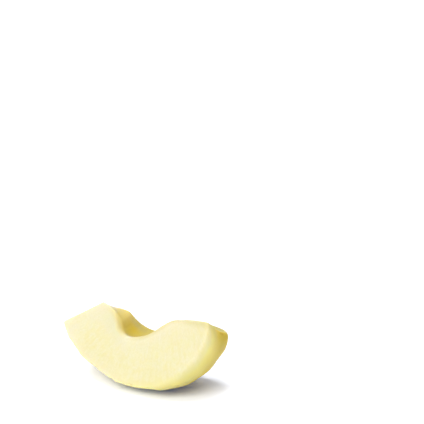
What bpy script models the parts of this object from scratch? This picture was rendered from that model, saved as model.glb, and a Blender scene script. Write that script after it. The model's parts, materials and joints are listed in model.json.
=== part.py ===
"""A peeled and cored slice of apple, lying on its round back. Metres, +Z up.

The slice is modelled as a soft-edged block that is bent round the apple's core line. The block's
length runs from the pointed end to the blunt end, its depth from the peeled back to the cored
inside, and its width from the near cut face to the far one. The core line lies along X while the
slice is shaped. Then the slice is tipped into the way it lies and set down with its lowest
flesh pressed flat, and the origin is put at the middle of its footprint.
"""
import math

import bpy
import bmesh
import numpy as np
from mathutils import Matrix

MM = 0.001

# ---------------------------------------------------------------- driving dimensions
WEDGE_ANGLE = math.radians(53.7)      # between the two cut faces, about a seventh of an apple
ROLL = math.radians(-2.1)             # how far the slice rolls about its length as it lies
PITCH = math.radians(7.0)             # how far its blunt end is raised
REST_SPOT_DEPTH = 0.30                # flesh pressed flat where the slice touches the table

EDGE_SOFTNESS = 0.7                   # edge radius left by the knife
RIM_SOFTNESS = 3.6                    # edge radius of the rubbed rim at the blunt end
RIM_START = 0.50                      # share of the length where that rim begins to widen
RIM_FULL = 0.85                       # share of the length from which it is at its widest
SCOOP_SOFTNESS = 1.5                  # edge radius beside the scoop that took the core out

STROKES = 9.8                         # widths of the peeler's blade, from end to end of the back
FIRST_RIDGE = 0.8                     # how many of them lie before the first ridge
RIDGE_HEIGHT = 0.2                    # of the ridges above the hollow strokes between them
CORE_HOLLOW = 0.7                     # how much deeper the corer cut between the two faces

# Outlines of the slice in mm, each point as (along the core line, out from it). Smooth curves
# run through the points from the pointed end to the blunt end.
BACK_AT_NEAR_FACE = ((-41.0, 10.4), (-38.4, 14.8), (-33.5, 20.0), (-27.7, 24.8), (-20.0, 28.9),
                     (-11.0, 32.9), (0.0, 34.5), (9.5, 34.1), (18.0, 30.9), (24.3, 25.6),
                     (27.6, 18.2), (27.8, 11.6), (27.0, 7.4))
BACK_AT_FAR_FACE = ((-40.2, 11.6), (-38.0, 15.6), (-33.4, 20.5), (-27.7, 24.9), (-20.0, 29.0),
                    (-11.0, 32.9), (0.0, 34.4), (9.4, 33.3), (16.8, 29.8), (22.5, 25.1),
                    (26.3, 20.4), (28.1, 16.4))
INSIDE_AT_NEAR_FACE = ((-22.9, 1.7), (-20.6, 3.0), (-17.2, 5.2), (-14.7, 8.6), (-13.0, 12.2),
                       (-10.0, 14.5), (-5.0, 14.8), (0.0, 13.5), (5.2, 9.8), (8.9, 7.4),
                       (13.0, 6.7), (21.0, 6.6), (25.2, 7.2))
INSIDE_AT_FAR_FACE = ((-23.6, 3.4), (-20.4, 4.8), (-16.6, 5.6), (-13.8, 6.7), (-12.0, 9.9),
                      (-10.0, 12.8), (-7.2, 15.0), (-3.4, 15.9), (1.4, 14.6), (6.4, 12.2),
                      (11.0, 11.2), (18.6, 11.1), (22.6, 12.4), (26.4, 14.6))

SLICE_LENGTH = BACK_AT_NEAR_FACE[-1][0] - BACK_AT_NEAR_FACE[0][0]
USUAL_DEPTH = 19.0                    # from the back to the inside, over most of the slice
USUAL_WIDTH = 24.0                    # between the cut faces, over most of the slice

# Rows of vertices along the block's length, depth and width, so that each fifth row along the
# length lies on a ridge, and the extra rows beside each edge that let it turn round softly, in
# edge radii from the edge.
ROWS = (50, 7, 11)
EDGE_ROWS = (0.25, 0.9, 2.4)


def curve_through(points, shares):
    """Points of a smooth curve through the given ones, at shares of its length from 0 to 1."""
    points = np.array(points)
    chords = np.linalg.norm(np.diff(points, axis=0), axis=1)
    reach = np.concatenate(([0.0], np.cumsum(chords)))
    slopes = np.gradient(points, reach, axis=0, edge_order=2)
    wanted = np.clip(shares, 0.0, 1.0) * reach[-1]
    span = np.clip(np.searchsorted(reach, wanted) - 1, 0, len(chords) - 1)
    chord = chords[span][:, None]
    t = (wanted - reach[span])[:, None] / chord
    start, end = points[span], points[span + 1]
    leave, arrive = slopes[span] * chord, slopes[span + 1] * chord
    return ((2 * t**3 - 3 * t**2 + 1) * start + (t**3 - 2 * t**2 + t) * leave
            + (3 * t**2 - 2 * t**3) * end + (t**3 - t**2) * arrive)


def smooth_step(value, start, end):
    """0 before start, 1 after end, and an easy rise between."""
    t = np.clip((value - start) / (end - start), 0.0, 1.0)
    return t * t * (3.0 - 2.0 * t)


def scooped(length):
    """1 where the corer cut the hollow, and 0 beyond it."""
    return smooth_step(length, 0.1, 0.3) * (1.0 - smooth_step(length, 0.5, 0.75))


def back_and_inside(length, width):
    """Where the back and the inside lie for shares along the length and across the width."""
    across = width[:, None]
    back = (curve_through(BACK_AT_NEAR_FACE, length) * (1.0 - across)
            + curve_through(BACK_AT_FAR_FACE, length) * across)
    inside = (curve_through(INSIDE_AT_NEAR_FACE, length) * (1.0 - across)
              + curve_through(INSIDE_AT_FAR_FACE, length) * across)
    inside[:, 1] += CORE_HOLLOW * scooped(length) * 4.0 * width * (1.0 - width)
    return back, inside


def stroke_lift(length):
    """How far the back stands off its outline in mm, where the turns of the peeler crossed it."""
    off_middle = 2.0 * ((length * STROKES - FIRST_RIDGE) % 1.0) - 1.0
    return RIDGE_HEIGHT * (off_middle**2 - 1.0 / 3.0)


def local_sizes(length, depth, width):
    """Length, depth and width of the slice in mm, as measured at each point."""
    back, inside = back_and_inside(length, width)
    thick = np.linalg.norm(back - inside, axis=1)
    out = back[:, 1] * (1.0 - depth) + inside[:, 1] * depth
    return np.stack([np.full_like(length, SLICE_LENGTH), thick, out * WEDGE_ANGLE], axis=1)


def soften_edges(block):
    """Round the block's edges and corners to their radius before it is bent."""
    length, depth, width = block.T
    sizes = local_sizes(length, depth, width)
    rubbed = smooth_step(length, RIM_START, RIM_FULL) * (1.0 - 0.5 * depth) * (1.0 - 0.5 * width)
    radius = (EDGE_SOFTNESS + (RIM_SOFTNESS - EDGE_SOFTNESS) * rubbed
              + (SCOOP_SOFTNESS - EDGE_SOFTNESS) * scooped(length) * depth)
    margin = np.minimum(radius[:, None] / sizes, 0.5)
    core = np.clip(block, margin, 1.0 - margin)
    outward = (block - core) / margin
    return core + outward / np.linalg.norm(outward, axis=1, keepdims=True) * margin


def bend_round_core(block):
    """Bend the softened block round the core line, and return its points in metres."""
    length, depth, width = block.T
    back, inside = back_and_inside(length, width)
    back *= 1.0 + (stroke_lift(length) / np.linalg.norm(back, axis=1))[:, None]
    place = back * (1.0 - depth)[:, None] + inside * depth[:, None]
    angle = WEDGE_ANGLE * (width - 0.5)
    along, out = place.T
    return np.stack([along, out * np.sin(angle), -out * np.cos(angle)], axis=1) * MM


def rows_with_edge_rows(count, size):
    """Even rows from 0 to 1, with the extra rows beside both ends."""
    near = [row * EDGE_SOFTNESS / size for row in EDGE_ROWS]
    return np.unique(np.concatenate([np.linspace(0.0, 1.0, count), near, 1.0 - np.array(near)]))


def block_skin(bm, rows):
    """The closed skin of a block, with vertices at every crossing of the rows."""
    counts = [len(row) for row in rows]
    vertices = {}

    def vertex(index):
        if index not in vertices:
            vertices[index] = bm.verts.new([rows[axis][index[axis]] for axis in range(3)])
        return vertices[index]

    for axis in range(3):
        first, second = (axis + 1) % 3, (axis + 2) % 3
        for side in (0, counts[axis] - 1):
            for i in range(counts[first] - 1):
                for j in range(counts[second] - 1):
                    corners = []
                    for step_i, step_j in ((0, 0), (1, 0), (1, 1), (0, 1)):
                        index = [0, 0, 0]
                        index[axis] = side
                        index[first] = i + step_i
                        index[second] = j + step_j
                        corners.append(vertex(tuple(index)))
                    bm.faces.new(corners if side else corners[::-1])


def lay_down(points):
    """Tip the slice into the way it lies, press its rest spot flat and centre its footprint."""
    tip = Matrix.Rotation(-PITCH, 3, "Y") @ Matrix.Rotation(ROLL, 3, "X")
    points = points @ np.array(tip).T
    lowest = points[:, 2].min() + REST_SPOT_DEPTH * MM
    points[:, 2] = np.maximum(points[:, 2], lowest)
    middle = (points.min(axis=0) + points.max(axis=0)) / 2.0
    return points - np.array([middle[0], middle[1], lowest])


def apple_flesh():
    """Pale cream flesh, moist enough for a soft shine."""
    material = bpy.data.materials.new("apple_flesh")
    material.use_nodes = True
    shader = material.node_tree.nodes["Principled BSDF"]
    shader.inputs["Base Color"].default_value = (0.93, 0.86, 0.52, 1.0)
    shader.inputs["Roughness"].default_value = 0.42
    shader.inputs["Metallic"].default_value = 0.0
    material.diffuse_color = (0.93, 0.86, 0.52, 1.0)
    return material


def make_apple_slice():
    """The whole slice as one closed solid."""
    sizes = (SLICE_LENGTH, USUAL_DEPTH, USUAL_WIDTH)
    rows = [rows_with_edge_rows(count, size) for count, size in zip(ROWS, sizes)]
    bm = bmesh.new()
    block_skin(bm, rows)
    block = np.array([vertex.co for vertex in bm.verts])
    points = lay_down(bend_round_core(soften_edges(block)))
    for vertex, point in zip(bm.verts, points):
        vertex.co = point
    bmesh.ops.triangulate(bm, faces=bm.faces)
    bmesh.ops.recalc_face_normals(bm, faces=bm.faces)
    mesh = bpy.data.meshes.new("apple_slice")
    bm.to_mesh(mesh)
    bm.free()
    mesh.shade_smooth()
    mesh.materials.append(apple_flesh())
    piece = bpy.data.objects.new("apple_slice", mesh)
    bpy.context.collection.objects.link(piece)
    return piece


for old in list(bpy.data.objects):
    bpy.data.objects.remove(old)
make_apple_slice()
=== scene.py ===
# %% [markdown]
# # A slice of apple, peeled and cored
# The thing on the table is one slice of a raw apple. It was peeled, the core was scooped out, and
# two knife cuts freed the slice, so it has three kinds of surface: two flat cut faces, the round
# back where the skin was, and the hollow inside where the core was. The part's solid already has
# that shape with a few thousand faces. Its marks of knife, peeler and corer could be sculpted by
# hand. This lesson builds the slice again with far more faces and with nodes instead, so that
# every size stays in view and the same slice comes out each time. Then it gives it flesh.

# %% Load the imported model
import json
import math

import bpy
import numpy as np
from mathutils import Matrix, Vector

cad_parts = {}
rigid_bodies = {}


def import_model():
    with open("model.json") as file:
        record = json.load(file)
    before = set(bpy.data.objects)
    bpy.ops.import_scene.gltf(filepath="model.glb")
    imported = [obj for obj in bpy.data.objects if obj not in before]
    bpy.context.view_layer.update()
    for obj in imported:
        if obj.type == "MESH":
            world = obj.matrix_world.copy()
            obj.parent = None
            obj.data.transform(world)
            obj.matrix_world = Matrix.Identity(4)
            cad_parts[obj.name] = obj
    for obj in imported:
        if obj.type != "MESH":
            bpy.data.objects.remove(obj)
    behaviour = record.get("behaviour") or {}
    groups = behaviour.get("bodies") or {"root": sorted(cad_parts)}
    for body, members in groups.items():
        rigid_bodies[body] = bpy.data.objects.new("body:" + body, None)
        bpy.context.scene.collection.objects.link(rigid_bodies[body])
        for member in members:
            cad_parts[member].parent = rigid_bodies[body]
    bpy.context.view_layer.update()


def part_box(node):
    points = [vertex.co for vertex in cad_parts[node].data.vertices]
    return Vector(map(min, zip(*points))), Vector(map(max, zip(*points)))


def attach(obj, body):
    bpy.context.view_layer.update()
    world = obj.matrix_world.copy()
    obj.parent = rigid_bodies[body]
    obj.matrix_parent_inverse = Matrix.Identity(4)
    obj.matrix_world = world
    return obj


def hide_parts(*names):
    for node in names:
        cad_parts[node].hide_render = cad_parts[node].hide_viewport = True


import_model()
MM = 0.001
solid_low, solid_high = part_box("apple_slice")
print("solid:", ", ".join(f"{side / MM:.1f} mm" for side in solid_high - solid_low))

# %% [markdown]
# ## The view
# A long lens from low down, as for a picture of food: the slice is looked at from almost half a
# metre away, and a little from its blunt end. A camera can be made to track an object, but then it
# always puts that object in the middle. This one is set by where it stands and by two angles,
# because those are easy to read and leave the slice where the picture wants it.

# %% The camera
VIEW_TURN = math.radians(29.35)       # round the slice, from straight in front of its near face
VIEW_DOWN = math.radians(12.51)       # below level
CAMERA_PLACE = (0.23601, -0.36437, 0.16365)
LENS_LENGTH = 100.0                   # in millimetres, as lenses are marked
SENSOR_WIDTH = 36.0

scene = bpy.context.scene
lens = bpy.data.cameras.new("kitchen_camera")
lens.lens = LENS_LENGTH
lens.sensor_width = SENSOR_WIDTH
camera = bpy.data.objects.new("kitchen_camera", lens)
camera.location = CAMERA_PLACE
camera.rotation_euler = (math.radians(90.0) - VIEW_DOWN, 0.0, VIEW_TURN)
scene.collection.objects.link(camera)
scene.camera = camera
print("camera:", f"{math.dist(CAMERA_PLACE, (0.0, 0.0, 0.0)):.2f} m from the slice")

# %% [markdown]
# ## The table
# The slice lies on a plain white surface that has no edge in view. It could be a thick board, but
# only its top is ever seen, so one wide face is enough. White things near warm flesh pick up its
# colour, and a camera then shows a brownish shadow. A faint blue glow of the table stands for the
# cool light that still gets in under the slice, and it keeps the shadow grey.

# %% The table
TABLE_HALF_SIDE = 6.0
TABLE_GAP = 0.02 * MM                 # keeps the table's face clear of the flesh that rests on it
TABLE_WHITE = (0.94, 0.95, 0.98, 1.0)
TABLE_ROUGHNESS = 0.9
TABLE_SHINE = 0.1
GLOW_BLUE = (0.10, 0.28, 1.0, 1.0)
TABLE_GLOW = 0.10

table_mesh = bpy.data.meshes.new("table_top")
table_corners = [(x * TABLE_HALF_SIDE, y * TABLE_HALF_SIDE, -TABLE_GAP)
                 for x, y in ((-1, -1), (1, -1), (1, 1), (-1, 1))]
table_mesh.from_pydata(table_corners, [], [(0, 1, 2, 3)])
table_top = bpy.data.objects.new("table_top", table_mesh)
scene.collection.objects.link(table_top)

table_paint = bpy.data.materials.new("white_table")
table_paint.use_nodes = True
paint = table_paint.node_tree.nodes["Principled BSDF"]
paint.inputs["Base Color"].default_value = TABLE_WHITE
paint.inputs["Roughness"].default_value = TABLE_ROUGHNESS
paint.inputs["Specular IOR Level"].default_value = TABLE_SHINE
paint.inputs["Emission Color"].default_value = GLOW_BLUE
paint.inputs["Emission Strength"].default_value = TABLE_GLOW
table_mesh.materials.append(table_paint)
print("table:", 2.0 * TABLE_HALF_SIDE, "m wide, glow", TABLE_GLOW)

# %% [markdown]
# ## The light
# Three large soft lights stand round the table: a window on the left, a panel in the ceiling, and
# a pale wall behind. They could be area lamps, but those fade with distance, and how bright they
# make a table has to be tried out. So each is a sun with a wide disc: the disc gives a soft
# shadow, and the brightness on the table can be worked out. The rest of the room is the world's
# own white. Together they make the table about half as bright again as a picture's white, so it
# comes out clean away from the shadow.

# %% The light
# Each light: how bright it makes the table, its turn from the view's own direction, its height
# above the horizon, and the width of its disc, in degrees.
LIGHTS = {"large_window": (0.66, -27.0, 36.0, 38.0),
          "ceiling_panel": (0.68, -75.0, 77.0, 34.0),
          "pale_wall_behind": (0.22, 170.0, 34.0, 70.0)}
ROOM_LIGHT = 0.10


def add_sun(name, brightness, turn, height, disc):
    """A sun that makes a level white table so bright, where 1 is white."""
    light = bpy.data.lights.new(name, "SUN")
    light.energy = brightness * math.pi / math.sin(math.radians(height))
    light.angle = math.radians(disc)
    lamp = bpy.data.objects.new(name, light)
    lamp.rotation_euler = (math.radians(90.0 - height), 0.0, VIEW_TURN + math.radians(turn))
    scene.collection.objects.link(lamp)


for name, settings in LIGHTS.items():
    add_sun(name, *settings)

world = bpy.data.worlds.new("white_walls")
world.use_nodes = True
walls = world.node_tree.nodes["Background"]
walls.inputs["Color"].default_value = (1.0, 1.0, 1.0, 1.0)
walls.inputs["Strength"].default_value = ROOM_LIGHT
scene.world = world
scene.view_settings.view_transform = "Standard"
print("light on the table:", {name: settings[0] for name, settings in LIGHTS.items()})

# %% [markdown]
# ## Adding nodes
# The slice's shape and the colours of its flesh are both made by trees of nodes. They could be
# drawn by hand in the editor, but a script can be read, changed and run again. Two helpers keep it
# short: one feeds an input, by a link or with a plain value, and the other adds a node and feeds
# all its inputs. What they link is a Field, a node's output, which the next cell makes.


# %% Helpers that add and feed nodes
def feed(socket, value):
    """Link a Field to a node's input, or set the input to a plain value."""
    if isinstance(value, Field):
        socket.id_data.links.new(value.socket, socket)
    else:
        socket.default_value = value


def add_node(tree, kind, inputs=None, **options):
    """Add a node, set its options and feed its inputs, each by its name or its number."""
    node = tree.nodes.new(kind)
    for option, value in options.items():
        setattr(node, option, value)
    for name, value in (inputs or {}).items():
        feed(node.inputs[name], value)
    return node


print("nodes can be added and fed")

# %% [markdown]
# ## Sums with nodes
# A node tree does its sums with Math nodes, one for each plus or times. They could be added one by
# one, but that hides the formula. With a Field it is written as in a book: adding or multiplying
# two Fields adds the Math node that does it. Where a vector takes part, it is a Vector Math node.


# %% A Field: a node's output that can be used in a sum
def reckon(operation, *terms, output=0):
    """A Math node on the terms, or a Vector Math node where one of them is a vector."""
    tree = next(term.socket.id_data for term in terms if isinstance(term, Field))
    as_vector = any(isinstance(term, tuple) or isinstance(term, Field)
                    and term.socket.type == "VECTOR" for term in terms)
    node = tree.nodes.new("ShaderNodeVectorMath" if as_vector else "ShaderNodeMath")
    node.operation = operation
    for socket, term in zip(node.inputs, terms):
        plain_number = not isinstance(term, (Field, tuple))
        feed(socket, (term,) * 3 if as_vector and plain_number else term)
    return Field(node.outputs[output])


class Field:
    """A node's output, with plus, minus, times and divide."""

    def __init__(self, socket):
        self.socket = socket

    def __add__(self, other):
        return reckon("ADD", self, other)

    def __sub__(self, other):
        return reckon("SUBTRACT", self, other)

    def __rsub__(self, other):
        return reckon("SUBTRACT", other, self)

    def __mul__(self, other):
        return reckon("MULTIPLY", self, other)

    def __truediv__(self, other):
        return reckon("DIVIDE", self, other)

    __radd__ = __add__
    __rmul__ = __mul__

    def parts(self):
        """The x, y and z of a vector."""
        node = add_node(self.socket.id_data, "ShaderNodeSeparateXYZ", {0: self})
        return [Field(output) for output in node.outputs]


print("Fields can be added, taken away, multiplied and divided")

# %% [markdown]
# ## Steps, fades and noise
# Most of what follows is made of soft steps and soft noise. A step rises from 0 to 1 between two
# values, and a fade is the same step turned round. They mark places: a tint that belongs near the
# pointed end is multiplied by a fade along the slice, so it is gone a little further on. A Color
# Ramp could do that too, but a Map Range node says it with two numbers that can be read.


# %% Steps, fades, mixes and noise
def vector_of(x, y, z):
    """A vector from three Fields or plain numbers."""
    tree = next(part.socket.id_data for part in (x, y, z) if isinstance(part, Field))
    return Field(add_node(tree, "ShaderNodeCombineXYZ", {0: x, 1: y, 2: z}).outputs[0])


def step(value, start, end):
    """0 before start, 1 after end, and an easy rise between."""
    node = add_node(value.socket.id_data, "ShaderNodeMapRange",
                    {"Value": value, "From Min": start, "From Max": end},
                    interpolation_type="SMOOTHSTEP")
    return Field(node.outputs["Result"])


def fade(value, start, end):
    """1 before start, 0 after end, and an easy fall between."""
    return 1.0 - step(value, start, end)


def mixed(first, second, share):
    """The first value where share is 0, and the second where it is 1."""
    return share * (second - first) + first


def mottle(place, stretch, seed=0.0, detail=2.0):
    """Soft noise from about -1 to 1. A larger stretch makes it finer along that direction."""
    node = add_node(place.socket.id_data, "ShaderNodeTexNoise",
                    {"Vector": place * stretch, "W": seed, "Scale": 1.0, "Detail": detail},
                    noise_dimensions="4D")
    return (Field(node.outputs[0]) - 0.5) * 2.0


print("steps, fades, mixes and noise are ready")

# %% [markdown]
# ## Four outlines
# A slice could be cut from a whole apple with Boolean modifiers, as in the kitchen, but they leave
# sharp edges and long thin faces. An apple is round about its core line, so a slice is better
# told by four outlines drawn in a half-plane through that line: the back and the inside, each as
# it looks at the near cut face and at the far one. The two faces differ, because no hand cuts a
# fruit twice the same way. Each outline is one spline of a Bezier curve. Its handles are worked
# out from the points on either side, so that the curve passes smoothly through them all.

# %% The outlines, in millimetres along the core line and out from it
BACK_AT_NEAR_FACE = ((-41.0, 10.4), (-38.4, 14.8), (-33.5, 20.0), (-27.7, 24.8), (-20.0, 28.9),
                     (-11.0, 32.9), (0.0, 34.5), (9.5, 34.1), (18.0, 30.9), (24.3, 25.6),
                     (27.6, 18.2), (27.8, 11.6), (27.0, 7.4))
BACK_AT_FAR_FACE = ((-40.2, 11.6), (-38.0, 15.6), (-33.4, 20.5), (-27.7, 24.9), (-20.0, 29.0),
                    (-11.0, 32.9), (0.0, 34.4), (9.4, 33.3), (16.8, 29.8), (22.5, 25.1),
                    (26.3, 20.4), (28.1, 16.4))
INSIDE_AT_NEAR_FACE = ((-22.9, 1.7), (-20.6, 3.0), (-17.2, 5.2), (-14.7, 8.6), (-13.0, 12.2),
                       (-10.0, 14.5), (-5.0, 14.8), (0.0, 13.5), (5.2, 9.8), (8.9, 7.4),
                       (13.0, 6.7), (21.0, 6.6), (25.2, 7.2))
INSIDE_AT_FAR_FACE = ((-23.6, 3.4), (-20.4, 4.8), (-16.6, 5.6), (-13.8, 6.7), (-12.0, 9.9),
                      (-10.0, 12.8), (-7.2, 15.0), (-3.4, 15.9), (1.4, 14.6), (6.4, 12.2),
                      (11.0, 11.2), (18.6, 11.1), (22.6, 12.4), (26.4, 14.6))
OUTLINES = (BACK_AT_NEAR_FACE, BACK_AT_FAR_FACE, INSIDE_AT_NEAR_FACE, INSIDE_AT_FAR_FACE)
BACK_NEAR, BACK_FAR, INSIDE_NEAR, INSIDE_FAR = range(4)
SPLINE_STEPS = 16


def add_outline(curve, outline):
    """One smooth spline through the outline's points, in metres in the curve's own XY plane."""
    points = np.array(outline) * MM
    chords = np.linalg.norm(np.diff(points, axis=0), axis=1)
    reach = np.concatenate(([0.0], np.cumsum(chords)))
    slopes = np.gradient(points, reach, axis=0, edge_order=2)
    spline = curve.splines.new("BEZIER")
    spline.resolution_u = SPLINE_STEPS
    spline.bezier_points.add(len(points) - 1)
    before = np.append(chords[0], chords)
    after = np.append(chords, chords[-1])
    for knot, point, slope, back, ahead in zip(spline.bezier_points, points, slopes, before, after):
        knot.handle_left_type = knot.handle_right_type = "FREE"
        knot.co = (*point, 0.0)
        knot.handle_left = (*(point - slope * back / 3.0), 0.0)
        knot.handle_right = (*(point + slope * ahead / 3.0), 0.0)


outline_curve = bpy.data.curves.new("slice_outlines", "CURVE")
outline_curve.dimensions = "3D"
for outline in OUTLINES:
    add_outline(outline_curve, outline)
slice_outlines = bpy.data.objects.new("slice_outlines", outline_curve)
scene.collection.objects.link(slice_outlines)
print("outlines:", [f"{spline.calc_length() / MM:.1f} mm" for spline in outline_curve.splines])

# %% [markdown]
# ## Reading the outlines inside the tree
# The slice is made as a soft block that is bent round the core line. Each of the block's points
# has three shares from 0 to 1: how far along it is from the pointed end, how deep under the peeled
# back, and how far across from the near face to the far one. This node group turns the shares
# along and across into two places, one on the back and one on the inside. The places could be
# worked out in Python and handed over as a mesh, but a tree that reads the curves is steered by
# their points. It is a group because the main tree needs it twice. First come three helpers: two
# that start and end any tree, and one that reads one outline.


# %% Helpers for the trees
def start_tree(name, inputs, outputs):
    """An empty geometry tree with named sockets, and its inputs as Fields."""
    tree = bpy.data.node_groups.new(name, "GeometryNodeTree")
    for label, kind in inputs:
        tree.interface.new_socket(label, in_out="INPUT", socket_type="NodeSocket" + kind)
    for label, kind in outputs:
        tree.interface.new_socket(label, in_out="OUTPUT", socket_type="NodeSocket" + kind)
    start = tree.nodes.new("NodeGroupInput")
    return tree, {label: Field(start.outputs[label]) for label, _ in inputs}


def end_tree(tree, results):
    """Feed the tree's own outputs, by their names."""
    add_node(tree, "NodeGroupOutput", results)


def outline_place(tree, outlines, spline, share):
    """The place at a share of one outline's length."""
    node = add_node(tree, "GeometryNodeSampleCurve",
                    {"Curves": outlines, "Factor": share, "Curve Index": spline},
                    mode="FACTOR", use_all_curves=False)
    return Field(node.outputs["Position"])


print("trees can be started and ended, and outlines can be read")

# %% [markdown]
# ## The cross section
# Between the two faces, the back and the inside are mixed from their outlines at the near face and
# at the far one. The corer turned as it cut, so it went a little deeper half-way between the
# faces. A ball could be cut out for that, but its rim would be a hard line. Here a parabola goes
# across, which is 1 half-way and 0 at both faces, so the hollow has no rim of its own. It starts
# soon after the pointed end and runs out slowly towards the blunt one.

# %% The node group that reads the outlines
# Shares of the length between which the hollow starts, and between which it runs out.
HOLLOW_STARTS = (0.1, 0.3)
HOLLOW_RUNS_OUT = (0.5, 0.75)

cross_section, given = start_tree(
    "cross_section",
    [("Outlines", "Geometry"), ("Along", "Float"), ("Across", "Float"), ("Core hollow", "Float")],
    [("Back", "Vector"), ("Inside", "Vector"), ("Scooped", "Float")])
along, across = given["Along"], given["Across"]
back, inside = [
    mixed(outline_place(cross_section, given["Outlines"], near, along),
          outline_place(cross_section, given["Outlines"], far, along), across)
    for near, far in ((BACK_NEAR, BACK_FAR), (INSIDE_NEAR, INSIDE_FAR))]
scooped = step(along, *HOLLOW_STARTS) * fade(along, *HOLLOW_RUNS_OUT)
half_way_across = 4.0 * across * (1.0 - across)
hollow = given["Core hollow"] * scooped * half_way_across
end_tree(cross_section, {"Back": back, "Inside": inside + vector_of(0.0, hollow, 0.0),
                         "Scooped": scooped})
print("cross_section:", len(cross_section.nodes), "nodes")

# %% [markdown]
# ## The sizes of the slice
# A size could be typed into the node that uses it, but there nobody finds it again. So every size
# is a named input of the tree, and the slice can be cut anew by changing one value. The first
# three say how many rows of points the block has. The others are lengths in metres, angles in
# radians, shares of the slice's length, and two counts: how many widths of the peeler's blade the
# back is long, and how many of those lie before its first ridge. The seed is for the relief.

# %% The sizes of the slice
SLICE_SIZES = {
    "Rows along": 262,
    "Rows deep": 56,
    "Rows across": 82,
    "Wedge angle": math.radians(53.7),
    "Knife edge": 0.6 * MM,
    "Rubbed rim": 6.0 * MM,
    "Rim start": 0.50,
    "Rim full": 0.85,
    "Scoop edge": 1.5 * MM,
    "Scoop's steep edge": 4.0 * MM,
    "Core hollow": 0.7 * MM,
    "Strokes": 9.8,
    "First ridge": 0.8,
    "Ridge height": 0.2 * MM,
    "Knife waver": 0.10 * MM,
    "Peel waver": 0.16 * MM,
    "Fibre streaks": 0.030 * MM,
    "Cell grain": 0.030 * MM,
    "Blade lines": 0.035 * MM,
    "Nick depth": 0.35 * MM,
    "Nick size": 1.5 * MM,
    "Bruise size": 0.9 * MM,
    "Roll": math.radians(-2.1),
    "Pitch": math.radians(7.0),
    "Seed": 7.0,
}
CORE_LINE_PLACE = (5.019 * MM, 1.148 * MM, 34.219 * MM)
SLICE_LENGTH = (BACK_AT_NEAR_FACE[-1][0] - BACK_AT_NEAR_FACE[0][0]) * MM
FLESH_LENGTH = 78.0 * MM              # of the slice half-way between its back and its inside
USUAL_DEPTH = 19.0 * MM
USUAL_WIDTH = 24.0 * MM
print("slice:", f"{SLICE_LENGTH / MM:.1f} mm along the core line,", len(SLICE_SIZES), "sizes")

# %% [markdown]
# ## Nicks and bruises
# The peeler's ridges left small nicks where they cross the lower edge, and the blunt half has a few
# brown specks. They could be painted by hand on an unwrapped picture. Here both are only points:
# the tree measures how far each place of the slice is from the nearest point, and cuts a nick or
# marks a bruise where it is close, so a mark is moved by changing its point. The specks of one
# bruise are thrown at random round its middle, with a fixed seed, so they fall alike every time.

# %% Points for the nicks and the bruised specks
NICKS = ((0.277, 0.005, 0.0), (0.376, 0.0, 0.026), (0.477, 0.013, 0.0), (0.681, 0.02, 0.12),
         (0.255, 0.0, 0.0))           # shares along, deep and across
# Each bruise: its middle on the slice as it lies, how far its specks spread, both in
# millimetres, and how many specks it has.
BRUISES = (((33.5, 2.9, 24.6), 0.5, 7), ((32.9, 3.2, 16.3), 1.1, 6), ((22.9, -10.4, 5.8), 0.6, 5))
SPECK_SEED = 4


def add_points(name, places):
    """A mesh that is only points, for the tree to measure distances to."""
    mesh = bpy.data.meshes.new(name)
    mesh.from_pydata([tuple(place) for place in places], [], [])
    points = bpy.data.objects.new(name, mesh)
    scene.collection.objects.link(points)
    return points


block_size = np.array([FLESH_LENGTH, USUAL_DEPTH, USUAL_WIDTH])
chance = np.random.default_rng(SPECK_SEED)
specks = [(np.array(middle) + chance.normal(0.0, spread, 3)) * MM
          for middle, spread, count in BRUISES for _ in range(count)]
nick_places = add_points("nick_places", np.array(NICKS) * block_size)
bruise_places = add_points("bruise_places", specks)
print("nicks:", len(NICKS), "bruised specks:", len(specks))

# %% [markdown]
# ## The main tree
# It takes the outlines, the points for nicks and bruises, and all the sizes as named inputs. Two
# helpers read them: one takes the geometry of an object that was given to the tree, and the other
# asks the node group for the back and the inside.

# %% Start the main tree
socket_kinds = [(name, "Int" if name.startswith("Rows") else "Float") for name in SLICE_SIZES]
slice_tree, sizes = start_tree(
    "apple_slice_body",
    [("Outlines", "Object"), ("Nick places", "Object"), ("Bruise places", "Object"),
     ("Core line place", "Vector"), ("Flesh", "Material"), *socket_kinds],
    [("Geometry", "Geometry")])
seed = sizes["Seed"]


def shape_of(object_input):
    """The geometry of an object that was given to the tree."""
    node = add_node(slice_tree, "GeometryNodeObjectInfo", {"Object": object_input})
    return Field(node.outputs["Geometry"])


outlines = shape_of(sizes["Outlines"])


def back_and_inside(along, across):
    """Both places of the cross section and how scooped it is, through the node group."""
    node = add_node(slice_tree, "GeometryNodeGroup", node_tree=cross_section)
    for name, value in (("Outlines", outlines), ("Along", along), ("Across", across),
                        ("Core hollow", sizes["Core hollow"])):
        feed(node.inputs[name], value)
    return [Field(node.outputs[name]) for name in ("Back", "Inside", "Scooped")]


print("apple_slice_body:", len(sizes), "inputs")

# %% [markdown]
# ## A block with many rows
# The slice could start as a ball, but a ball has poles where its faces crowd, and no edges. It
# starts as a plain cube, a metre wide, with many rows of points. A point's position plus a half is
# then its three shares. The sizes of the slice at each point are needed too, because an edge's
# radius is a length, and the cube only knows shares.

# %% The tree's first part: a block and its shares
block = add_node(slice_tree, "GeometryNodeMeshCube",
                 {"Size": (1.0, 1.0, 1.0), "Vertices X": sizes["Rows along"],
                  "Vertices Y": sizes["Rows deep"], "Vertices Z": sizes["Rows across"]})
shares = Field(add_node(slice_tree, "GeometryNodeInputPosition").outputs[0]) + 0.5
along, deep, across = shares.parts()

back, inside, scooped = back_and_inside(along, across)
thickness = reckon("DISTANCE", back, inside, output=1)
out_at_point = mixed(back.parts()[1], inside.parts()[1], deep)
local_sizes = vector_of(SLICE_LENGTH, thickness, out_at_point * sizes["Wedge angle"])
print("apple_slice_body:", len(slice_tree.nodes), "nodes for the block")

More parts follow.
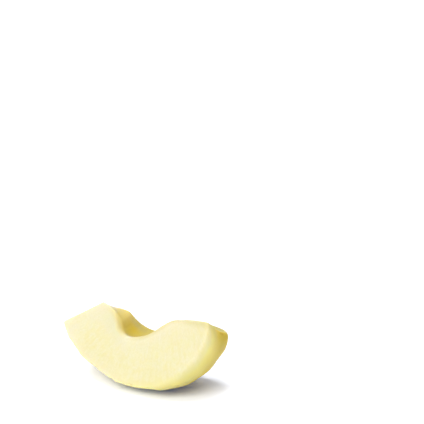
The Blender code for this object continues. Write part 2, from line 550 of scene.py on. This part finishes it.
# %% [markdown]
# ## Soft edges
# A knife leaves a crisp edge, but handling rubs it round. A Bevel modifier could round it, but the
# radius changes all the way along here, and its new faces would break the even rows. The tree
# pulls each point towards a smaller block inside the first, as far as the edge is soft there:
# little along the knife's cuts, more beside the scoop, and most round the rubbed blunt end.
# The soft steps to the inside and to the far face let one radius turn into the next without a
# crease.

# %% The tree's second part: soft edges
# Shares of the length between which the scoop's steep left wall starts, and where it stops.
STEEP_WALL_STARTS = (0.03, 0.12)
STEEP_WALL_STOPS = (0.20, 0.32)
LESS_RUBBED_INSIDE = 0.5              # how much of the rim's softness is lost at the inside
LESS_RUBBED_FAR = 0.7                 # and at the far face
EDGE_WAVER = 0.25                     # of the knife edge's own radius
EDGE_WAVER_STRETCH = (16.0, 3.0, 3.0)

to_inside = step(deep, 0.0, 1.0)
to_far_face = step(across, 0.0, 1.0)
rubbed = (step(along, sizes["Rim start"], sizes["Rim full"])
          * (1.0 - LESS_RUBBED_INSIDE * to_inside) * (1.0 - LESS_RUBBED_FAR * to_far_face))
steep = step(along, *STEEP_WALL_STARTS) * fade(along, *STEEP_WALL_STOPS) * (1.0 - to_far_face)
scoop_edge = mixed(sizes["Scoop edge"], sizes["Scoop's steep edge"], steep)
knife_edge = sizes["Knife edge"]
edge_waver = 1.0 + EDGE_WAVER * mottle(shares, EDGE_WAVER_STRETCH, seed=seed)
edge = (knife_edge * edge_waver + (sizes["Rubbed rim"] - knife_edge) * rubbed
        + (scoop_edge - knife_edge) * scooped * to_inside)
margin = reckon("MINIMUM", edge / local_sizes, 0.5)
middle = reckon("MAXIMUM", reckon("MINIMUM", shares, 1.0 - margin), margin)
outward = reckon("NORMALIZE", (shares - middle) / margin)
soft_shares = middle + outward * margin
print("apple_slice_body:", len(slice_tree.nodes), "nodes with soft edges")

# %% [markdown]
# ## Bent round the core line
# Each point now moves to its place between back and inside, and swings round the core line by its
# share of the wedge angle. A Simple Deform modifier bends a block too, but only along one arc,
# and here the back and the inside each follow their own outline. The turns of the peeler left
# shallow strokes with a ridge between them, and each ridge wavers a little, as the hand did.

# %% The tree's third part: the bend and the peeler's strokes
RIDGE_WAVER = 0.006                   # of the slice's length
RIDGE_WAVER_STRETCH = (3.0, 0.0, 3.0)

along, deep, across = soft_shares.parts()
back, inside, _ = back_and_inside(along, across)
ridge_waver = mottle(soft_shares, RIDGE_WAVER_STRETCH, seed=seed + 1.0) * RIDGE_WAVER
turn = (along + ridge_waver) * sizes["Strokes"] - sizes["First ridge"]
off_middle = reckon("FRACT", turn) * 2.0 - 1.0
lift = sizes["Ridge height"] * (off_middle * off_middle - 1.0 / 3.0)
back = back + reckon("NORMALIZE", back) * lift
along_core, out, _ = mixed(back, inside, deep).parts()
angle = sizes["Wedge angle"] * (across - 0.5)
bent = vector_of(along_core, out * reckon("SINE", angle), out * reckon("COSINE", angle) * -1.0)
print("apple_slice_body:", len(slice_tree.nodes), "nodes with the bend")

# %% [markdown]
# ## What the flesh remembers
# A pattern that follows the fruit needs to know where it is in the fruit: how far along, how far
# under the skin, how far from the near face. An unwrapped picture could say so, but it has seams,
# and it knows only the surface. The tree stores those measures as attributes on the points, under
# names. The relief reads them next, and the colours read them later on the finished mesh.


# %% Helpers that measure, store and remember
def closeness(places, position, reach):
    """1 at the nearest of some points, and 0 further from it than the reach."""
    node = add_node(slice_tree, "GeometryNodeProximity",
                    {0: shape_of(places), "Sample Position": position}, target_element="POINTS")
    return fade(Field(node.outputs["Distance"]), 0.0, reach)


def store(geometry, name, value, kind):
    """Store a value on each point, under a name."""
    node = add_node(slice_tree, "GeometryNodeStoreNamedAttribute",
                    {"Geometry": geometry, "Name": name, "Value": value},
                    data_type=kind, domain="POINT")
    return Field(node.outputs["Geometry"])


def remembered(name, kind="FLOAT"):
    """A stored attribute, as a Field."""
    node = add_node(slice_tree, "GeometryNodeInputNamedAttribute", {"Name": name}, data_type=kind)
    return Field(node.outputs["Attribute"])


print("places can be stored under a name and read again")

# %% [markdown]
# ## Stored before the bend
# The shares are only at hand while the block is still a block, so everything is stored on it
# first, and then it is bent. The block's depth turns upwards and its width turns away from the
# view, and swapping two directions mirrors a shape, which would leave its faces turned inwards.
# That is why the faces are flipped before anything else.

# %% The tree's fourth part: stored places, and the bend carried out
NICK_WAVER = 0.4                      # of a nick's size, so that no nick is round
NICK_WAVER_STRETCH = (60.0, 20.0, 20.0)

half_width = out_at_point * sizes["Wedge angle"] * 0.5 / MM
from_face = half_width * (1.0 - reckon("ABSOLUTE", across * 2.0 - 1.0))
flesh_place = vector_of(along * FLESH_LENGTH, deep * thickness,
                        across * out_at_point * sizes["Wedge angle"]) / MM
nick_waver = 1.0 + NICK_WAVER * mottle(shares, NICK_WAVER_STRETCH, seed=seed + 2.0)
nicked = closeness(sizes["Nick places"], shares * tuple(block_size),
                   sizes["Nick size"] * nick_waver)

MEMORIES = {"flesh_place": (flesh_place, "FLOAT_VECTOR"),
            "shares": (soft_shares, "FLOAT_VECTOR"),
            "from_face": (from_face, "FLOAT"),
            "nicked": (nicked, "FLOAT")}
node = add_node(slice_tree, "GeometryNodeFlipFaces", {"Mesh": Field(block.outputs["Mesh"])})
geometry = Field(node.outputs["Mesh"])
for name, (value, kind) in MEMORIES.items():
    geometry = store(geometry, name, value, kind)
node = add_node(slice_tree, "GeometryNodeSetPosition", {"Geometry": geometry, "Position": bent})
geometry = Field(node.outputs["Geometry"])
print("stored on the points:", ", ".join(MEMORIES))

# %% [markdown]
# ## Relief
# Up close nothing on the slice is smooth. The knife wavered, the peeler left fine lines along its
# way, the fibres stand out as streaks on the cut faces, and the cells give all of it a grain. It
# could be bump in the material, but bump leaves the outline smooth and isn't in the mesh. So each
# is soft noise, stretched to its own direction, and together they push the points in or out along
# their normal. The grain is a few hundredths of a millimetre deep, the knife's waver a tenth, and
# a nick about a third.

# %% The tree's fifth part: relief
# Distances in millimetres over which the streaks leave a cut face, and the peeler's marks the back.
FACE_FADES = (0.1, 0.6)
BACK_FADES = (0.0, 3.0)
BACK_SKIN = (0.0, 0.02)               # share of the depth that still counts as the back

place = remembered("flesh_place", "FLOAT_VECTOR")
under_skin = place.parts()[1]
_, deep, _ = remembered("shares", "FLOAT_VECTOR").parts()
on_face = fade(remembered("from_face"), *FACE_FADES)
on_back = fade(deep, *BACK_SKIN) * (1.0 - on_face)
near_back = fade(under_skin, *BACK_FADES)
# Each kind of relief: the input that gives its size, how fine it is along, deep and across, the
# step of its seed, how much detail it has, and where it shows.
RELIEF = (("Knife waver", (0.07, 0.07, 0.05), 3.0, 1.0, 1.0),
          ("Fibre streaks", (1.0, 0.09, 0.6), 4.0, 3.0, on_face),
          ("Cell grain", (1.3, 1.3, 1.3), 5.0, 3.0, 1.0),
          ("Blade lines", (2.0, 0.0, 0.05), 6.0, 2.0, on_back),
          ("Peel waver", (0.30, 0.0, 0.10), 7.0, 2.0, near_back))

relief = remembered("nicked") * sizes["Nick depth"] * -1.0
for size, stretch, seed_step, detail, where in RELIEF:
    relief = relief + mottle(place, stretch, seed + seed_step, detail) * sizes[size] * where
normal = Field(add_node(slice_tree, "GeometryNodeInputNormal").outputs[0])
node = add_node(slice_tree, "GeometryNodeSetPosition",
                {"Geometry": geometry, "Offset": normal * relief})
geometry = Field(node.outputs["Geometry"])
print("relief:", ", ".join(kind[0].lower() for kind in RELIEF))

# %% [markdown]
# ## Laid on the table
# So far the core line lies along X. The slice is now tipped into the way it lies. The finished
# object could be turned instead, but a piece that belongs in a frame is simplest unturned, with
# its place in its mesh. Whatever would sink into the table is pressed flat, which gives the slice
# a small spot to rest on. The bruises are marked here, because their places were measured on the
# slice as it lies.

# %% The tree's last part: tipped, set down and given its flesh
TABLE_LEVEL = (-1.0, -1.0, 0.0)       # lower than anything in X and Y, and the table's own Z

tip = vector_of(sizes["Roll"], sizes["Pitch"] * -1.0, 0.0)
node = add_node(slice_tree, "GeometryNodeTransform",
                {"Geometry": geometry, "Rotation": tip, "Translation": sizes["Core line place"]})
laid = Field(add_node(slice_tree, "GeometryNodeInputPosition").outputs[0])
bruised = closeness(sizes["Bruise places"], laid, sizes["Bruise size"])
geometry = store(Field(node.outputs["Geometry"]), "bruised", bruised, "FLOAT")
pressed = reckon("MAXIMUM", laid, TABLE_LEVEL)
node = add_node(slice_tree, "GeometryNodeSetPosition",
                {"Geometry": geometry, "Position": pressed})
for kind, more in (("GeometryNodeSetShadeSmooth", {}), ("GeometryNodeRealizeInstances", {}),
                   ("GeometryNodeSetMaterial", {"Material": sizes["Flesh"]})):
    node = add_node(slice_tree, kind, {"Geometry": Field(node.outputs["Geometry"]), **more})
end_tree(slice_tree, {"Geometry": Field(node.outputs["Geometry"])})
print("apple_slice_body:", len(slice_tree.nodes), "nodes in all")

# %% [markdown]
# ## Flesh
# Apple flesh is pale cream inside, greener and more yellow in the few millimetres under the skin,
# and golden round the core. Each colour below is what the flesh itself reflects of red, green and
# blue light. The ones marked painted light or painted shade are also made lighter or darker to
# stand for how the lamps fall on that place. A colour picked from a finished picture would be wrong
# here, because the lamps and the juice are already in it, so these were tried out under the lamps
# above.

# %% The colours of the flesh
CREAM = (0.510, 0.466, 0.256)         # the cut faces
PALE_CREAM = (0.531, 0.503, 0.348)    # their paler streaks and blotches
CORE_PALE = (0.531, 0.497, 0.379)     # near the core and at the pointed end
CELL_SHADE = (0.385, 0.348, 0.168)    # between the cells
UNDER_SKIN = (0.492, 0.451, 0.176)    # the last millimetres below the peeled back
PEELED_YELLOW = (0.533, 0.476, 0.156)  # the peeled back beside a cut face
# partly painted shade: the peeled back goes deeper gold further from the near face, its own colour
# and painted shade together
PEELED_GOLD_AND_SHADE = (0.514, 0.378, 0.025)   # the peeled back further round
# painted light: the three rim colours below are lighter copies of the peeled back's colours, for
# the rounded blunt end where it turns away from the lamps
RIM_CREAM_PAINTED_LIGHT = (0.604, 0.566, 0.272)  # the rubbed rim where it leaves the cut face
RIM_YELLOW_PAINTED_LIGHT = (0.669, 0.594, 0.201)  # the rubbed rim itself
RIM_GOLD_PAINTED_LIGHT = (0.686, 0.545, 0.093)   # the rubbed rim where it meets the back
# painted shade: the two colours below darken the cut faces near the inside and along the arm's top
# edge
WALL_SHADE = (0.459, 0.443, 0.271)    # the cut faces where they near the inside
# the inside's stain and deepest gold below are partly the flesh's own gold and partly painted
# shade; the steep wall's paler colour is painted light
CORE_STAIN_AND_SHADE = (0.492, 0.390, 0.112)    # the inside by the near face
CORE_LIP = (0.430, 0.354, 0.115)      # the inside by the far face
CORE_GOLD_AND_SHADE = (0.515, 0.370, 0.038)     # the deepest part of the hollow
CORE_WALL_PAINTED_LIGHT = (0.630, 0.522, 0.178)     # the hollow's steep left wall
CORE_RUN_OUT = (0.395, 0.320, 0.078)  # where the hollow runs out
INSIDE_EDGE_SHADE = (0.425, 0.380, 0.190)   # the near face's upper edge, on the right
# painted shade on the inside at the very blunt end
ARM_TIP_SHADE = (0.430, 0.355, 0.090)       # the inside at the very blunt end
BRUISE = (0.394, 0.205, 0.025)        # nicks and specks that turned brown
print("the cut faces reflect", CREAM)

# %% [markdown]
# ## The material
# Face, back and hollow could have a material each, but then every border would be a hard line
# along the edges of the mesh. One material covers the whole slice, because it is all the same
# flesh. Its colours are laid over each other like glazes: each layer has a colour and a share from
# 0 to 1 that says where it shows and how strongly. Three helpers do that, and the shader's other
# settings come last.

# %% Start the material
flesh = bpy.data.materials.new("moist_apple_flesh")
flesh.use_nodes = True
paints = flesh.node_tree
shader = paints.nodes["Principled BSDF"]


def attribute(name, output="Fac"):
    """A stored attribute as the material reads it, as a number or as a Vector."""
    node = add_node(paints, "ShaderNodeAttribute", attribute_name=name)
    return Field(node.outputs[output])


def blend_colour(under, over, share):
    """One colour over another."""
    node = add_node(paints, "ShaderNodeMix", {"Factor": share}, data_type="RGBA")
    for number, colour in ((6, under), (7, over)):
        feed(node.inputs[number], colour if isinstance(colour, Field) else (*colour, 1.0))
    return Field(node.outputs[2])


def lay_over(colour, layers):
    """More colours over a first one, in turn, each by its own share."""
    for over, share in layers:
        colour = blend_colour(colour, over, share)
    return colour


print("moist_apple_flesh:", len(paints.nodes), "nodes to start with")

# %% [markdown]
# ## Patterns in the flesh
# Noise on plain coordinates would run straight through the slice, like the grain of a plank. The
# material reads the places that the tree stored and draws its noise there. So the streaks run from
# the core to the skin, as the fibres of an apple do, and every pattern keeps its size in
# millimetres.

# %% Stored places and patterns
place = attribute("flesh_place", "Vector")
_, under_skin, from_near_face = place.parts()
along, deep, across = attribute("shares", "Vector").parts()
from_face = attribute("from_face")

patches = mottle(place, (0.12, 0.12, 0.12), seed=21.0)
streaks = mottle(place, (1.1, 0.07, 0.5), seed=22.0, detail=3.0)
cells = mottle(place, (1.5, 1.2, 1.5), seed=23.0)
bands = mottle(place, (0.16, 0.0, 0.05), seed=24.0)
pores = mottle(place, (4.5, 4.5, 4.5), seed=25.0)
blotches = mottle(place, (0.55, 0.40, 0.55), seed=26.0)
print("moist_apple_flesh:", len(paints.nodes), "nodes for places and patterns")

# %% [markdown]
# ## The cut faces
# A cut face isn't one colour. Streaks and blotches make it paler in places, the flesh near the
# core and at the pointed end is less yellow, and the cells leave a fine darker grain. A painted
# picture could show all that, but it blurs up close, and noise doesn't.

# %% Cream for the cut faces
# Stretches along the slice, as shares of its length: where a place's colour starts to change, and
# where the change is done. Depths under the skin are in millimetres.
POINTED_END = (0.0, 0.22)
LEFT_PART = (0.30, 0.50)
SKIN_SIDE = (0.0, 5.0)
CORE_SIDE = (0.45, 1.0)               # as shares of the depth

paleness = patches * 0.6 + streaks * 0.45 + blotches * 1.1
graininess = cells + blotches * 0.5
at_point = fade(along, *POINTED_END)
low_left = fade(under_skin, *SKIN_SIDE) * fade(along, *LEFT_PART)
cream = lay_over(CREAM, (
    (PALE_CREAM, step(paleness, -0.6, 0.7)),
    (CORE_PALE, step(deep, *CORE_SIDE) * 0.6),
    (CORE_PALE, at_point * 0.4 + low_left * 0.5),
    (CELL_SHADE, step(graininess, -0.7, 1.0) * 0.30)))
print("moist_apple_flesh:", len(paints.nodes), "nodes with the cut faces")

# %% [markdown]
# ## Round the rim to the peeled back
# The rim could be found by which way the surface faces, but a worn edge turns gradually, and the
# tint has to follow the skin, not the curve. So how far a place lies past the edge between a cut
# face and the back is one number, in millimetres: below 0 on the cut face, above 0 on the back.
# Noise makes that border uneven. The colour goes from cream over yellow to gold as the number
# grows, and the deeper gold further round is partly painted shade. On the rubbed end the rim takes
# lighter colours, which are painted light where the rounded rim turns away from the lamps.

# %% Rim and peeled back
RUBBED_END = (0.74, 0.90)             # shares of the length
RIM_TURNS_YELLOW = (0.30, 0.78)
BLUNT_CORNER = (0.93, 1.0)
CORNER_STOPS_ACROSS = (0.60, 0.85)    # shares of the width
CORNER_TINT_ACROSS = (0.25, 0.55)

at_corner = step(along, *BLUNT_CORNER) * fade(across, *CORNER_STOPS_ACROSS)
past_edge = from_face - under_skin + patches + cells * 0.3 + at_corner * 2.0
past_near_edge = past_edge + (from_near_face - from_face) + bands
rubbed = step(along, *RUBBED_END)

# painted light: on the rubbed end the rim takes the lighter colours, where the rounded rim turns
# away from the lamps
rim_cream = blend_colour(UNDER_SKIN, RIM_CREAM_PAINTED_LIGHT, rubbed)
rim_share = mixed(0.05, 0.85, step(along, *RIM_TURNS_YELLOW))
face_colour = blend_colour(cream, rim_cream, step(past_edge, -5.0, 0.5) * rim_share)

lit_rim_yellow = blend_colour(RIM_YELLOW_PAINTED_LIGHT, RIM_GOLD_PAINTED_LIGHT, step(past_near_edge, 1.0, 7.0))
yellow = blend_colour(PEELED_YELLOW, lit_rim_yellow, rubbed)
# partly painted shade: the back turns deeper gold further from the near face
gold_and_shade_share = step(past_near_edge, 3.0, 13.0) * step(from_face, 0.0, 1.5)
back_colour = blend_colour(yellow, PEELED_GOLD_AND_SHADE, gold_and_shade_share)

corner_tint = (at_corner * step(past_edge, -6.0, -1.0) * fade(past_edge, 4.0, 8.0)
               * fade(across, *CORNER_TINT_ACROSS))
colour = lay_over(face_colour, (
    (back_colour, step(past_edge, -1.0, 2.0)),
    (UNDER_SKIN, corner_tint * 0.90)))
print("moist_apple_flesh:", len(paints.nodes), "nodes with the back")

# %% [markdown]
# ## Edges by the core
# The cut faces are painted a little darker where they near the inside: beside the steep wall of the
# hollow, beside its run-out, and along the top of the arm on the right. This is painted shade where
# those rounded edges turn away from the lamps, with a little yellowing beside the hollow. The arm's
# top is found by its height above the table, because there the lines of equal depth run slantwise
# across the edge.

# %% Painted shade where the cut faces near the inside
# Shares of the length.
STAIN_AND_SHADE_STARTS = (0.02, 0.18)
STAIN_AND_SHADE_RUNS_OUT = (0.46, 0.72)
WALL_STOPS = (0.26, 0.36)
BESIDE_HOLLOW = (0.34, 0.46)
# Where the arm's top edge is on the table, in millimetres.
ARM_TOP_HEIGHT = (26.3, 29.6)
ARM_TOP_ALONG = (17.0, 24.0)

stain_and_shade_stretch = step(along, *STAIN_AND_SHADE_STARTS) * fade(along, *STAIN_AND_SHADE_RUNS_OUT)
by_wall = fade(along, *WALL_STOPS) * stain_and_shade_stretch
on_near_face = fade(from_near_face, 0.5, 2.5)
edge_by_hollow = step(deep, 0.86, 0.98) * step(along, *BESIDE_HOLLOW)
on_table = Field(add_node(paints, "ShaderNodeTexCoord").outputs["Object"]) / MM
along_table, _, height = on_table.parts()
arm_top = step(height, *ARM_TOP_HEIGHT) * step(along_table, *ARM_TOP_ALONG)
# painted shade: the cut faces are darker beside the steep wall, beside the hollow and along the
# arm's top
colour = lay_over(colour, (
    (WALL_SHADE, step(deep, 0.60, 0.90) * by_wall * 0.5),
    (CORE_STAIN_AND_SHADE, step(deep, 0.86, 0.99) * by_wall * 0.6),
    (INSIDE_EDGE_SHADE, edge_by_hollow * on_near_face * 0.90),
    (INSIDE_EDGE_SHADE, arm_top * on_near_face * 0.90)))
print("moist_apple_flesh:", len(paints.nodes), "nodes with the edges")

# %% [markdown]
# ## The hollow
# Round the core the flesh is firmer, with a gold stain, and the hollow lies in shade, so its
# colours are partly that gold and partly painted shade. One gold for all of it would look painted,
# so the stain by the near face has four tints laid over it: the hollow's far lip, the gold of its
# deepest part, darkened as painted shade, the paler steep wall on the left, lightened as painted
# light, and the darker run-out on the right.

# %% The hollow
WALL_TINT_STOPS = (0.20, 0.30)        # shares of the length
GOLD_STARTS = (0.12, 0.28)
GOLD_STOPS = (0.40, 0.60)
RUN_OUT = (0.27, 0.38)

in_the_gold = (step(along, *GOLD_STARTS) * fade(along, *GOLD_STOPS)
               * step(across, 0.0, 0.40) * fade(across, 0.58, 0.82))
# painted shade and light: the gold stain is darkened in the deepest part and lightened on the steep
# left wall
core = lay_over(CORE_STAIN_AND_SHADE, (
    (CORE_LIP, step(across, 0.45, 0.80)),
    (CORE_GOLD_AND_SHADE, in_the_gold),
    (CORE_WALL_PAINTED_LIGHT, fade(along, *WALL_TINT_STOPS) * 0.50),
    (CORE_RUN_OUT, step(along, *RUN_OUT) * 0.80)))

in_hollow = step(deep, 0.93, 0.99) * step(from_near_face, 0.0, 2.0) * stain_and_shade_stretch
colour = blend_colour(colour, core, in_hollow)
print("moist_apple_flesh:", len(paints.nodes), "nodes with the hollow")

# %% [markdown]
# ## The arm on the right
# Past the hollow the inside goes on along the arm, up to the blunt end. It is tinted like the
# hollow and darkest at its tip, and the cut face along the arm's top is darker too: all of this is
# painted shade on surfaces that face the ceiling light. Last come the nicks and the bruised specks.
# They read how near the tree found each place to a mark, and they lie over everything else, because
# a bruise browns whatever flesh it is in.

# %% The arm, nicks and bruises
ARM_FACE = (0.70, 0.95)               # shares of the length
ARM_INSIDE = (0.62, 0.85)
TIP_OF_ARM = (0.90, 0.96)

arm_face = step(deep, 0.66, 0.95) * step(along, *ARM_FACE)
arm_inside = step(deep, 0.90, 0.98) * step(along, *ARM_INSIDE) * step(from_face, 0.5, 3.0)
arm_tip = step(deep, 0.50, 0.85) * step(along, *TIP_OF_ARM) * step(across, 0.20, 0.50)
# painted shade: the arm's top face, its inside and its tip are darkened where they face the ceiling
# light
colour = lay_over(colour, (
    (WALL_SHADE, arm_face * 0.6),
    (CORE_STAIN_AND_SHADE, arm_inside * 0.8),
    (ARM_TIP_SHADE, arm_tip * 0.85),
    (BRUISE, step(attribute("nicked"), 0.55, 0.95) * 0.35),
    (BRUISE, attribute("bruised") * 0.55)))
print("moist_apple_flesh:", len(paints.nodes), "nodes with the whole inside")

# %% [markdown]
# ## Juice and shine
# With a plain colour alone, fruit looks like plaster. Flesh is full of juice, so light goes a
# little way in and comes out again warmer, with red going furthest: that is subsurface scattering.
# The cut surface is moist, which gives a soft shine and not a mirror. Pores finer than the mesh's
# own points are left to a faint bump.

# %% Juice, shine and pores
JUICE_SHARE = 0.75                    # how much of the light goes into the flesh
LIGHT_REACH = 5.0 * MM                # how far red light wanders there
REACH_OF_COLOURS = (1.0, 0.72, 0.28)  # red, green and blue, as shares of that
JUICE_IOR = 1.38
SHINE = 0.20
ROUGHNESS = 0.46
ROUGHNESS_WAVER = 0.05                # added or taken away by the cells
PORE_DEPTH = 0.05 * MM
PORE_STRENGTH = 0.35

feed(shader.inputs["Base Color"], colour)
shader.inputs["Subsurface Weight"].default_value = JUICE_SHARE
shader.inputs["Subsurface Radius"].default_value = REACH_OF_COLOURS
shader.inputs["Subsurface Scale"].default_value = LIGHT_REACH
shader.inputs["Specular IOR Level"].default_value = SHINE
shader.inputs["IOR"].default_value = JUICE_IOR
feed(shader.inputs["Roughness"], ROUGHNESS + cells * ROUGHNESS_WAVER)
fine_bump = add_node(paints, "ShaderNodeBump",
                     {"Height": pores, "Strength": PORE_STRENGTH, "Distance": PORE_DEPTH})
feed(shader.inputs["Normal"], Field(fine_bump.outputs["Normal"]))
print("moist_apple_flesh:", len(paints.nodes), "nodes in all")

# %% [markdown]
# ## Cutting the slice
# The tree hangs on an empty mesh as a modifier. Its inputs are set by the identifiers that
# Blender gave them. It could stay a live modifier, but a plain mesh can be measured, dressed and
# exported by any tool. So the result is taken as a plain mesh, and the helpers are put away.

# %% Run the tree and keep its result as a plain mesh
identifiers = {item.name: item.identifier for item in slice_tree.interface.items_tree
               if item.in_out == "INPUT"}
carrier = bpy.data.objects.new("slice_carrier", bpy.data.meshes.new("slice_carrier"))
scene.collection.objects.link(carrier)
modifier = carrier.modifiers.new("apple_slice_body", "NODES")
modifier.node_group = slice_tree
for name, value in {**SLICE_SIZES, "Outlines": slice_outlines, "Nick places": nick_places,
                    "Bruise places": bruise_places, "Core line place": CORE_LINE_PLACE,
                    "Flesh": flesh}.items():
    modifier[identifiers[name]] = value

bpy.context.view_layer.update()
evaluated = carrier.evaluated_get(bpy.context.evaluated_depsgraph_get())
slice_mesh = bpy.data.meshes.new_from_object(evaluated)
slice_mesh.name = "apple_slice_flesh"
apple_flesh = bpy.data.objects.new("apple_slice_flesh", slice_mesh)
scene.collection.objects.link(apple_flesh)
for helper in (carrier, slice_outlines, nick_places, bruise_places):
    bpy.data.objects.remove(helper)
print("apple_slice_flesh:", len(slice_mesh.vertices), "points")

# %% [markdown]
# ## Measuring the slice
# A closed mesh has a volume: each triangle spans a small pyramid with the origin, and the pyramids
# are added up. The sum comes out above 0 when the faces look outwards, so it is worth a glance.
# An apple slice of this size should hold a little over twenty cubic centimetres.

# %% Triangles, volume and reach
slice_mesh.calc_loop_triangles()
points = np.array([vertex.co for vertex in slice_mesh.vertices])
triangles = np.array([triangle.vertices for triangle in slice_mesh.loop_triangles])
first, second, third = points[triangles].transpose(1, 0, 2)
volume = (first * np.cross(second, third)).sum() / 6.0
print("slice:", len(triangles), "triangles,", f"{volume * 1e6:.1f} cm3,", "from",
      (points.min(axis=0) / MM).round(1), "to", (points.max(axis=0) / MM).round(1), "mm")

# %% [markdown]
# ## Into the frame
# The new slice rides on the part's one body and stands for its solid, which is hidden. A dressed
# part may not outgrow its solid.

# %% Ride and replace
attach(apple_flesh, "root")
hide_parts("apple_slice")
